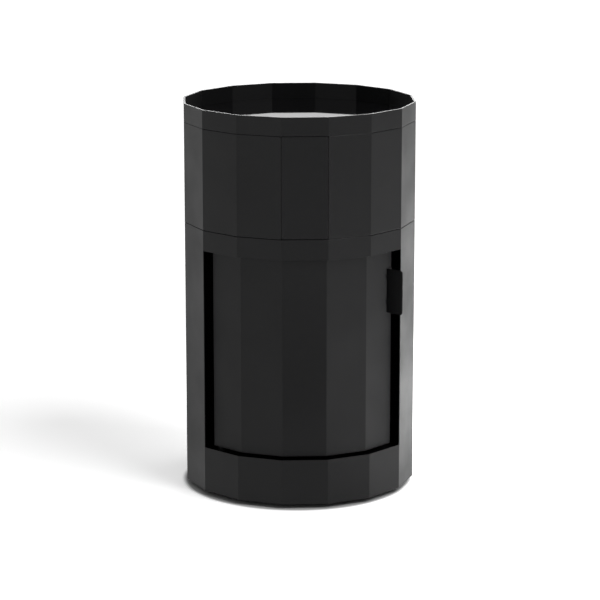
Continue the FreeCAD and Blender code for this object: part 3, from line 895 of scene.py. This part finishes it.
    def rim_hoop(self) -> bpy.types.Object:
        """Turns the rim over to its inner wall and the ledge under the pane.

        Returns:
            The piece.
        """
        low, high, ease = self.drum_top, self.top - self.rim_round, self.rim_round
        bench = Bench.tube("rim_hoop", self.corner_radius, low + self.fold, high)
        bench.pick_upright(lambda middle: True)
        bench.bevel(self.fold, FOLD_SEGMENTS)
        inside = self.face - self.rim_wall
        ledge = inside - self.ledge
        bench.pick_level(high)
        bench.follow(
            round_corner(self.face - ease, high, ease, 0.0)
            + round_corner(inside + ease, high, ease, 90.0)
            + [(inside, low + self.sheet), (ledge, low + self.sheet), (ledge, low)]
            + round_corner(self.face - self.fold, low + self.fold, self.fold, 270.0, 2)
        )
        piece = smooth(bench.close())
        every_other = range(1, SIDES, 2)
        roots = [facet_point(facet, 0, self.stud_circle, low + self.sheet) for facet in every_other]
        self.rim_stud.weld(piece, roots)
        return piece

    def tray_pane(self) -> bpy.types.Object:
        """Cuts the pane to lie inside the rim and grinds its edges.

        Returns:
            The piece.
        """
        out = self.face - self.rim_wall - self.pane_gap
        low = self.drum_top + self.sheet
        high = low + self.pane
        bench = Bench.tube("tray_pane", out / math.cos(TURN / 2), low + self.arris, high - self.arris)
        for start, end in ((high - self.arris, high), (low + self.arris, low)):
            bench.pick_level(start)
            bench.follow([(out, start), (out - self.arris, end)])
            bpy.ops.mesh.edge_face_add()
        return smooth(bench.close())

    def build(self) -> None:
        """Builds and dresses the carcass."""
        self.dresser.place(self.cabinet_skin(), Body.CARCASS, Slot.POWDER_COAT, "cabinet_shell")
        self.dresser.place(self.drum_skin(), Body.CARCASS, Slot.POWDER_COAT, "drum_shell")
        self.dresser.place(self.rim_hoop(), Body.CARCASS, Slot.POWDER_COAT, "rim_ring")
        self.dresser.place(self.tray_pane(), Body.CARCASS, Slot.PANE_GLASS, "top_pane")


@dataclass
class Door:
    """Five-facet leaf with its fin handle and rivets. Sizes in millimetres."""

    dresser: Dresser
    corner_radius: float = 170.0
    sheet: float = 1.2
    ease: float = 0.5
    fold: float = 0.5
    low: float = 80.0
    high: float = 383.0
    edge: float = 24.365
    depth: float = 16.0
    lip: float = 12.0
    lip_relief: float = 3.0
    end_facet: int = 2
    fin_offset: float = 11.5
    fin_reach: float = 32.6
    fin_sheet: float = 2.0
    fin_ease: float = 0.4
    fin_bend: float = 3.0
    fin_corner: float = 4.0
    fin_leg: float = 12.0
    fin_low: float = 289.5
    fin_high: float = 357.5
    rivet_radius: float = 3.8
    rivet_rise: float = 2.2
    rivet_rim: float = 0.88
    rivet_dome: tuple[tuple[float, float], ...] = ((0.94, 0.62), (0.8, 0.82), (0.58, 0.94), (0.3, 1.0))
    rivet_shank: float = 2.0
    rivet_tail_radius: float = 3.0
    rivet_tail: float = 1.2
    rivet_chamfer: float = 0.3
    rivet_end: float = 0.8
    rivet_spacing: float = 40.0
    rivet_sides: int = 24

    @property
    def face(self) -> float:
        """Distance from the axis to the door's facets."""
        return self.corner_radius * math.cos(TURN / 2)

    def leaf(self) -> bpy.types.Object:
        """Folds the leaf in all round, with a lip on its free edge for the magnet.

        Returns:
            The piece.
        """
        bench = Bench.tube("door_leaf", self.corner_radius, self.low, self.high)
        bench.pick_upright(lambda middle: True)
        bench.bevel(self.fold, FOLD_SEGMENTS)
        back = self.face - self.depth
        for level in (self.low, self.high):
            bench.pick_level(level)
            bench.follow([(self.face, level), (back, level)])
        for sign in (-1, 1):
            side = facet_point(sign * self.end_facet, sign, 0, 0) / MM
            outward = facet_point(sign * self.end_facet, 0, 1, 0) / MM
            bench.cut(side * self.edge * MM, side, clear=True)
            bench.pick(verts=lambda p: abs(p.dot(side) - self.edge * MM) < NEAR and p.dot(outward) > 0)
            bpy.ops.mesh.edge_face_add()
        ends = (self.low + self.lip_relief, self.high - self.lip_relief)
        for level in ends:
            bench.cut(Vector((0, 0, level * MM)), Turn.UP.value)
        inward = facet_point(self.end_facet, -1, 0, 0) / MM
        root = facet_point(self.end_facet, self.edge, back, 0)
        bench.pick_upright(
            lambda middle: (middle.xy - root.xy).length < NEAR and ends[0] * MM < middle.z < ends[1] * MM
        )
        bench.carry(inward * self.lip)
        return thicken(bench.close(), self.sheet, self.ease)

    def turned(self, piece: bpy.types.Object) -> bpy.types.Object:
        """Turns a piece made on the front facet onto the door's end facet.

        Args:
            piece: The piece.

        Returns:
            The same piece.
        """
        piece.rotation_euler.z = self.end_facet * TURN
        bpy.ops.object.transform_apply(rotation=True)
        return piece

    def fin(self) -> bpy.types.Object:
        """Folds the handle: a leg on the door and a fin that stands out from it.

        Returns:
            The piece.
        """
        middle = (self.fin_low + self.fin_high) / 2
        centre = Vector((self.fin_offset + self.fin_leg / 2, -self.face, middle)) * MM
        bench = Bench(
            "door_fin",
            lambda: bpy.ops.mesh.primitive_plane_add(
                size=1.0, location=centre, rotation=(-math.pi / 2, 0, 0)
            ),
        )
        bpy.ops.mesh.select_all(action="SELECT")
        size = (self.fin_leg * MM, 1, (self.fin_high - self.fin_low) * MM)
        bpy.ops.transform.resize(value=size, center_override=centre)
        bend, seat, tip = self.fin_offset * MM, -self.face * MM, -(self.face + self.fin_reach) * MM
        bench.pick_upright(lambda p: p.x < bend + NEAR)
        bench.carry(Turn.BACK.value * -self.fin_reach)
        bench.pick(verts=lambda p: p.y < tip + NEAR)
        bench.bevel(self.fin_corner, 2 * FOLD_SEGMENTS, corners=True)
        bench.pick_upright(lambda p: p.x < bend + NEAR and p.y > seat - NEAR)
        bench.bevel(self.fin_bend, 2 * FOLD_SEGMENTS)
        piece = thicken(self.turned(bench.close()), self.fin_sheet, self.fin_ease)
        # The coat is too dull to mirror so thin a sheet on the door, so gloss passes it by.
        piece.visible_glossy = False
        return piece

    def rivets(self) -> bpy.types.Object:
        """Domes two rivets on the handle's leg and sets their tails behind the door.

        Returns:
            The piece.
        """
        along = self.fin_offset + (self.fin_sheet + self.fin_leg) / 2
        middle = (self.fin_low + self.fin_high) / 2
        seat = self.face + self.fin_sheet
        bench = Bench(
            "fin_rivets",
            lambda: bpy.ops.mesh.primitive_cylinder_add(
                vertices=self.rivet_sides,
                radius=self.rivet_radius * MM,
                depth=self.rivet_rim * MM,
                location=Vector((along, -seat - self.rivet_rim / 2, middle)) * MM,
                rotation=(math.pi / 2, 0, 0),
            ),
        )
        centre = Vector((along, -seat, middle)) * MM
        shank, tail = self.rivet_shank / self.rivet_radius, self.rivet_tail_radius / self.rivet_radius
        back = -self.fin_sheet - self.sheet
        end = back - self.rivet_tail
        chamfer = [(tail, end + self.rivet_chamfer), (tail * self.rivet_end, end)]
        # Shares of the head's radius and rises over its seat, for the dome and for the tail.
        dome = [(share, rise * self.rivet_rise) for share, rise in self.rivet_dome]
        paths = {
            -1: [(1.0, self.rivet_rim)] + dome,
            1: [(1.0, 0), (shank, 0), (shank, back), (tail, back)] + chamfer,
        }
        for sign, path in paths.items():
            bench.pick(faces=lambda place, normal: normal.y * sign > FACING)
            for (share, rise), (next_share, next_rise) in zip(path, path[1:]):
                bench.carry(Turn.BACK.value * (rise - next_rise))
                size = next_share / share
                bpy.ops.transform.resize(value=(size, 1, size), center_override=centre)
        piece = bench.close()
        modify(
            piece,
            "ARRAY",
            count=2,
            use_relative_offset=False,
            use_constant_offset=True,
            constant_offset_displace=(0, 0, self.rivet_spacing * MM),
        )
        piece.location.z -= self.rivet_spacing / 2 * MM
        bpy.ops.object.transform_apply(location=True)
        return smooth(self.turned(piece))

    def build(self) -> None:
        """Builds and dresses the door."""
        self.dresser.place(self.leaf(), Body.DOOR, Slot.POWDER_COAT, "door_panel")
        self.dresser.place(self.fin(), Body.DOOR, Slot.POWDER_COAT, "door_handle")
        self.dresser.place(self.rivets(), Body.DOOR, Slot.BLACK_RIVET, "handle_rivets")


@dataclass
class Drawer:
    """Flush drawer front with its weld studs. Sizes in millimetres."""

    dresser: Dresser
    face: float = 176.541
    width: float = 69.432
    low: float = 417.6
    high: float = 571.0
    depth: float = 12.0
    sheet: float = 1.2
    ease: float = 0.5
    stud: WeldStud = WeldStud(2.0, 7.0)
    stud_across: float = 32.0
    stud_apart: float = 76.0
    stud_middle: float = 482.0

    def front(self) -> bpy.types.Object:
        """Folds the front as a shallow pan, open at the back.

        Returns:
            The piece.
        """
        bench = Bench(
            "drawer_front_pan",
            lambda: bpy.ops.mesh.primitive_cube_add(
                size=1.0,
                location=Vector((0, self.depth / 2 - self.face, (self.low + self.high) / 2)) * MM,
                scale=Vector((self.width, self.depth, self.high - self.low)) * MM,
            ),
        )
        bench.pick(faces=lambda middle, normal: normal.y > FACING)
        bpy.ops.mesh.delete(type="FACE")
        return thicken(bench.close(), self.sheet, self.ease)

    def build(self) -> None:
        """Builds and dresses the drawer's front."""
        front = self.front()
        back, x, z = self.sheet - self.face, self.stud_across / 2, self.stud_apart / 2
        roots = [
            Vector((sx * x, back, self.stud_middle + sz * z)) * MM for sx in (-1, 1) for sz in (-1, 1)
        ]
        self.stud.weld(front, roots, math.pi / 2)
        self.dresser.place(front, Body.DRAWER, Slot.POWDER_COAT, "drawer_front")


@dataclass
class Feet:
    """Four levelling feet under the base. Sizes in millimetres."""

    dresser: Dresser
    circle: float = 142.0
    pad_radius: float = 11.0
    pad: float = 7.0
    edge: float = 2.0
    edge_segments: int = 5
    tread: float = 6.0
    tread_depth: float = 0.8
    tread_slope: float = 0.3
    stem_radius: float = 4.0
    stem: float = 22.0
    pitch: float = 1.25
    root: float = 0.86
    sides: int = 32
    smooth_angle: float = 30.0

    def foot(self) -> bpy.types.Object:
        """Turns one foot on the axis: a pad with a ring tread below and a threaded stem above.

        Returns:
            The piece.
        """
        bench = Bench(
            "foot",
            lambda: bpy.ops.mesh.primitive_cylinder_add(
                vertices=self.sides,
                radius=self.pad_radius * MM,
                depth=self.pad * MM,
                location=(0, 0, self.pad / 2 * MM),
            ),
        )
        for level in (0.0, self.pad):
            bench.pick_level(level)
            bench.bevel(self.edge, self.edge_segments)
        bench.pick(faces=lambda middle, normal: normal.z < -FACING)
        bpy.ops.mesh.inset(thickness=(self.pad_radius - self.edge - self.tread) * MM)
        bpy.ops.mesh.inset(thickness=self.tread_slope * MM, depth=-self.tread_depth * MM)
        bench.pick(faces=lambda middle, normal: normal.z > FACING)
        bpy.ops.mesh.inset(thickness=(self.pad_radius - self.edge - self.stem_radius) * MM)
        half = Vector((0, 0, self.pitch / 2))
        for _ in range(int(self.stem / self.pitch)):
            bench.carry(half, self.root)
            bench.carry(half, 1 / self.root)
        return smooth(bench.close(), self.smooth_angle)

    def build(self) -> None:
        """Builds and dresses the feet."""
        places = [facet_point(facet, 0, self.circle, 0) for facet in FOOT_FACETS.values()]
        for name, piece in zip(FOOT_FACETS, spread(self.foot(), places)):
            piece.name = piece.data.name = "foot_" + name
            self.dresser.place(piece, Body.CARCASS, Slot.FOOT_PLASTIC, "glide_" + name)


@dataclass(frozen=True)
class Softbox:
    """A square softbox. Sizes in millimetres, power in watts, spread in degrees."""

    name: str
    place: tuple[float, float, float]
    target: tuple[float, float, float]
    size: float
    power: float
    spread: float

    def hang(self) -> None:
        """Hangs the softbox at its place and aims it."""
        lamp = bpy.data.lights.new(self.name, "AREA")
        lamp.energy = self.power
        lamp.size = self.size * MM
        lamp.spread = math.radians(self.spread)
        light = bpy.data.objects.new(self.name, lamp)
        bpy.context.scene.collection.objects.link(light)
        light.location = Vector(self.place) * MM
        aim = Vector(self.target) - Vector(self.place)
        light.rotation_euler = aim.to_track_quat("-Z", "Y").to_euler()


@dataclass(frozen=True)
class Net:
    """A black net that dims what gloss sees through it.

    Sizes in millimetres, its place in facets from the front, and the share of light that it lets through.
    """

    name: str
    facet: float
    distance: float
    width: float
    height: float
    through: float

    def stand(self) -> None:
        """Stands the net on the floor, square to the axis."""
        bpy.ops.object.select_all(action="DESELECT")
        bpy.ops.mesh.primitive_plane_add(
            size=MM,
            location=facet_point(self.facet, 0, self.distance, self.height / 2),
            rotation=(math.pi / 2, 0, self.facet * TURN),
        )
        net = bpy.context.object
        net.name = self.name
        net.scale = (self.width, self.height, 1)
        material = bpy.data.materials.new("black_studio_net")
        material.use_nodes = True
        tree = material.node_tree
        gauze = add_node(tree, "ShaderNodeBsdfTransparent", {"Color": (*[self.through] * 3, 1)})
        tree.links.new(gauze.outputs["BSDF"], tree.nodes["Material Output"].inputs["Surface"])
        net.data.materials.append(material)
        # The eye and other light pass it by, so it shows in no view and casts no shadow.
        net.visible_camera = net.visible_diffuse = net.visible_shadow = False


class Window(NamedTuple):
    """A window of the room: the direction to it and its brightness."""

    aim: tuple[float, float, float]
    glow: float


@dataclass
class Studio:
    """White floor with a painted shadow under the cabinet, soft key from the front right, softboxes, nets,
    room and camera.

    Sizes in millimetres, angles in degrees.
    """

    floor_size: float = 60000.0
    floor_colour: str = "#e6e6e6"
    floor_glow: float = 0.42
    # Painted shadow under the cabinet: its floor colour, its inner and outer radius, and its middle, set off
    # towards the front left.
    painted_shadow_colour: str = "#a6a6a6"
    painted_shadow_radius: tuple[float, float] = (173.0, 181.0)
    painted_shadow_middle: tuple[float, float, float] = (-4.0, -7.0, 0.0)
    key_strength: float = 2.0
    key_azimuth: float = 49.0
    key_elevation: float = 46.0
    key_spread: float = 30.0
    fill: float = 0.5
    ceiling: float = 0.12
    ceiling_rise: tuple[float, float] = (-0.6, 0.0)
    room_lean: float = 1.5
    window_edge: tuple[float, float] = (0.92, 0.97)
    windows: tuple[Window, ...] = (
        Window((0.68, -0.68, 0.26), 1.0),
        Window((-0.68, -0.68, 0.26), 1.3),
    )
    softboxes: tuple[Softbox, ...] = (
        Softbox("near_softbox", (560.0, 460.0, 1200.0), (500.0, 400.0, 0.0), 500.0, 6.0, 60.0),
        Softbox("far_softbox", (1400.0, 1500.0, 1500.0), (1300.0, 1400.0, 0.0), 900.0, 10.0, 60.0),
        Softbox("side_softbox", (820.0, -640.0, 1200.0), (760.0, -580.0, 0.0), 600.0, 4.5, 60.0),
        Softbox("back_softbox", (100.0, 1300.0, 1350.0), (0.0, 0.0, 600.0), 700.0, 1.0, 25.0),
    )
    nets: tuple[Net, ...] = (
        Net("side_net", -6.0, 270.0, 360.0, 700.0, 0.74),
        Net("front_net", 0.125, 560.0, 240.0, 190.0, 0.5),
    )
    distance: float = 3926.7
    height: float = 1195.6
    azimuth: float = -2.82
    yaw: float = -0.0228
    pitch: float = -13.064
    lens: float = 155.2
    sensor: float = 36.0

    def floor(self) -> None:
        """Lays a pale floor that reads white to the eye and to gloss, keeps its shadows, and has a shadow
        painted on it under the cabinet.
        """
        bpy.ops.object.select_all(action="DESELECT")
        bpy.ops.mesh.primitive_plane_add(size=self.floor_size * MM)
        floor = bpy.context.object
        floor.name = "studio_floor"
        material = bpy.data.materials.new("white_studio_floor")
        material.use_nodes = True
        tree = material.node_tree
        shader = tree.nodes["Principled BSDF"]
        shader.inputs["Roughness"].default_value = 1.0
        shader.inputs["Specular IOR Level"].default_value = 0.0
        glow = self.floor_glow
        shader.inputs["Emission Color"].default_value = (glow, glow, glow, 1)
        # Painted shadow: in a disc under the cabinet, set off towards the front left, the floor is painted
        # darker and doesn't glow, so that the gap over the feet stays dark.
        place = add_node(tree, "ShaderNodeTexCoord").outputs["Object"]
        middle = Vector(self.painted_shadow_middle) * MM
        reach = add_node(tree, "ShaderNodeVectorMath", {"operation": "DISTANCE", 1: middle}, {0: place})
        clear_of_painted_shadow = add_node(
            tree,
            "ShaderNodeMapRange",
            {"From Min": self.painted_shadow_radius[0] * MM, "From Max": self.painted_shadow_radius[1] * MM},
            {"Value": reach.outputs["Value"]},
        )
        colour = add_node(
            tree,
            "ShaderNodeMix",
            {"data_type": "RGBA", MIX_A: linear(self.painted_shadow_colour), MIX_B: linear(self.floor_colour)},
            {0: clear_of_painted_shadow.outputs["Result"]},
        )
        shining = add_node(
            tree,
            "ShaderNodeMath",
            {"operation": "MULTIPLY"},
            {0: self.seen(tree), 1: clear_of_painted_shadow.outputs["Result"]},
        )
        tree.links.new(colour.outputs[MIX_OUT], shader.inputs["Base Color"])
        tree.links.new(shining.outputs[0], shader.inputs["Emission Strength"])
        floor.data.materials.append(material)

    @staticmethod
    def seen(tree: bpy.types.NodeTree) -> bpy.types.NodeSocket:
        """Finds whether a ray comes from the eye, from gloss or through glass.

        Args:
            tree: Node tree of the floor or the world.

        Returns:
            Socket that is 1 for such rays and 0 for the rest.
        """
        path = add_node(tree, "ShaderNodeLightPath")
        seen = path.outputs["Is Camera Ray"]
        for ray in ("Is Glossy Ray", "Is Transmission Ray"):
            links = {0: seen, 1: path.outputs[ray]}
            seen = add_node(tree, "ShaderNodeMath", {"operation": "MAXIMUM"}, links).outputs[0]
        return seen

    def surroundings(self) -> None:
        """Fills the room with even light.

        To the eye and to gloss the room is white behind the cabinet and dim in front and above, with a
        window on each side of the camera.
        """
        world = bpy.data.worlds.new("studio_room")
        world.use_nodes = True
        bpy.context.scene.world = world
        tree = world.node_tree
        background = tree.nodes["Background"]
        background.inputs["Color"].default_value = (1, 1, 1, 1)
        toward = add_node(tree, "ShaderNodeTexCoord").outputs["Generated"]
        # Height leans with distance to the front, so that the white stays behind the cabinet.
        lean = (0.0, -self.room_lean, 1.0)
        rise = add_node(tree, "ShaderNodeVectorMath", {"operation": "DOT_PRODUCT", 1: lean}, {0: toward})
        low, high = self.ceiling_rise
        white = add_node(
            tree,
            "ShaderNodeMapRange",
            {"From Min": low, "From Max": high, "To Min": 1.0, "To Max": self.ceiling},
            {"Value": rise.outputs["Value"]},
        )
        glow = white.outputs["Result"]
        for window in self.windows:
            near = add_node(
                tree, "ShaderNodeVectorMath", {"operation": "DOT_PRODUCT", 1: window.aim}, {0: toward}
            )
            pane = add_node(
                tree,
                "ShaderNodeMapRange",
                {"From Min": self.window_edge[0], "From Max": self.window_edge[1], "To Max": window.glow},
                {"Value": near.outputs["Value"]},
            )
            glow = add_node(
                tree, "ShaderNodeMath", {"operation": "ADD"}, {0: glow, 1: pane.outputs["Result"]}
            ).outputs[0]
        strength = add_node(
            tree, "ShaderNodeMapRange", {"To Min": self.fill}, {"Value": self.seen(tree), "To Max": glow}
        )
        tree.links.new(strength.outputs["Result"], background.inputs["Strength"])

    def key(self) -> None:
        """Hangs the soft key light at the front right."""
        lamp = bpy.data.lights.new("key_light", "SUN")
        lamp.energy = self.key_strength
        lamp.angle = math.radians(self.key_spread)
        light = bpy.data.objects.new("key_light", lamp)
        bpy.context.scene.collection.objects.link(light)
        light.rotation_euler = (math.radians(90 - self.key_elevation), 0, math.radians(self.key_azimuth))

    def camera(self) -> None:
        """Sets the camera where the photograph was taken from."""
        lens = bpy.data.cameras.new("photo_camera")
        lens.lens = self.lens
        lens.sensor_width = self.sensor
        camera = bpy.data.objects.new("photo_camera", lens)
        bpy.context.scene.collection.objects.link(camera)
        turn = math.radians(self.azimuth)
        camera.location = Vector(
            (self.distance * math.sin(turn), -self.distance * math.cos(turn), self.height)
        ) * MM
        camera.rotation_euler = (math.radians(90 + self.pitch), 0, math.radians(self.azimuth + self.yaw))
        bpy.context.scene.camera = camera

    def build(self) -> None:
        """Sets up the room, the light and the camera."""
        self.floor()
        self.surroundings()
        self.key()
        for softbox in self.softboxes:
            softbox.hang()
        for net in self.nets:
            net.stand()
        self.camera()
        bpy.context.scene.view_settings.view_transform = "Standard"


def main() -> None:
    """Builds the cabinet's pieces, the finishes and the studio in order."""
    logging.basicConfig(level=logging.INFO, format="%(message)s")
    dresser = Dresser()
    dresser.dress_nodes()
    for assembly in (Carcass, Door, Drawer, Feet):
        assembly(dresser).build()
    Studio().build()


if __name__ == "__main__":
    main()
